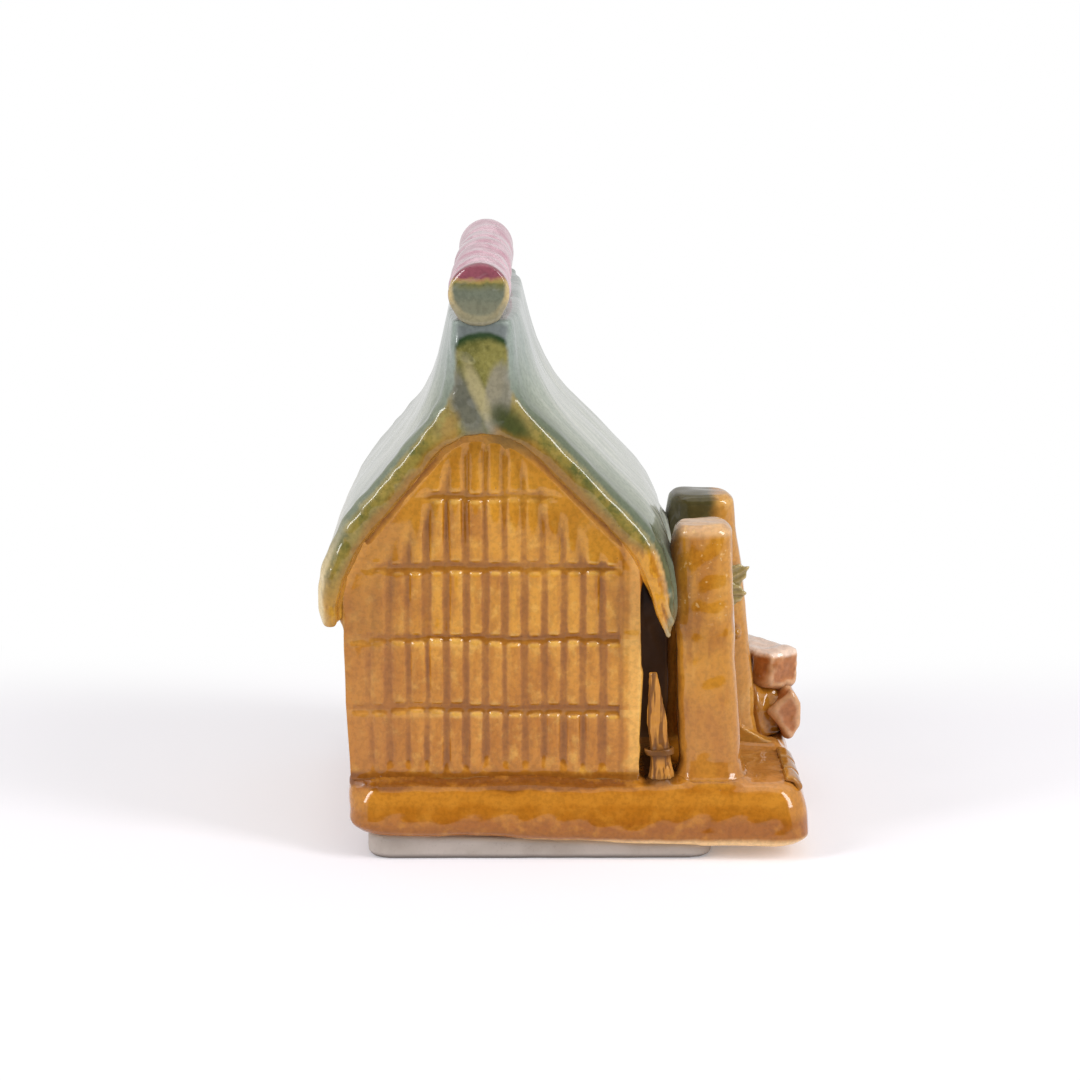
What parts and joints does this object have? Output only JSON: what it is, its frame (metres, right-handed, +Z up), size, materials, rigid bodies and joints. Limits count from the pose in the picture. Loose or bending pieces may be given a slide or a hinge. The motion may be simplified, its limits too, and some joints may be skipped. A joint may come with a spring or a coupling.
{
  "type": "hut figurine",
  "caption": "Glazed ceramic hut with pressed batten walls, a two-slope roof under a rolled ridge, and a porch side with trunk posts, a leaf sprig and split logs",
  "frame": {"origin": "middle of the foot slab's underside", "axes": "+Z up, +X towards the porch side, +Y along the ridge from the near to the far gable"},
  "size_m": [0.0562, 0.0462, 0.0694],
  "materials": {
    "amber_glaze": "glossy",
    "dark_glaze": "glossy",
    "celadon_glaze": "glossy",
    "rose_glaze": "glossy",
    "olive_glaze": "glossy",
    "straw_glaze": "glossy",
    "bare_clay": "matte"
  },
  "bodies": {
    "root": {"foot_slab": "bare_clay", "base_slab": "amber_glaze", "near_gable_wall": "amber_glaze", "far_gable_wall": "amber_glaze", "back_wall": "amber_glaze", "front_wall": "dark_glaze", "roof_porch_slope": "celadon_glaze", "roof_rear_slope": "celadon_glaze", "ridge_roll": "rose_glaze", "near_porch_verge_coil": "amber_glaze", "near_rear_verge_coil": "amber_glaze", "far_porch_verge_coil": "amber_glaze", "far_rear_verge_coil": "amber_glaze", "near_post": "amber_glaze", "far_post": "amber_glaze", "porch_screen": "dark_glaze", "straw_sheaf": "straw_glaze", "sheaf_band": "dark_glaze", "split_log_1": "amber_glaze", "split_log_2": "amber_glaze", "split_log_3": "amber_glaze", "split_log_4": "amber_glaze", "sprig_leaf_1": "olive_glaze", "sprig_leaf_2": "olive_glaze", "sprig_leaf_3": "olive_glaze", "sprig_stem": "olive_glaze", "sprig_berry": "amber_glaze", "step_rib_1": "amber_glaze", "step_rib_2": "amber_glaze", "step_rib_3": "amber_glaze"}
  },
  "joints": []
}
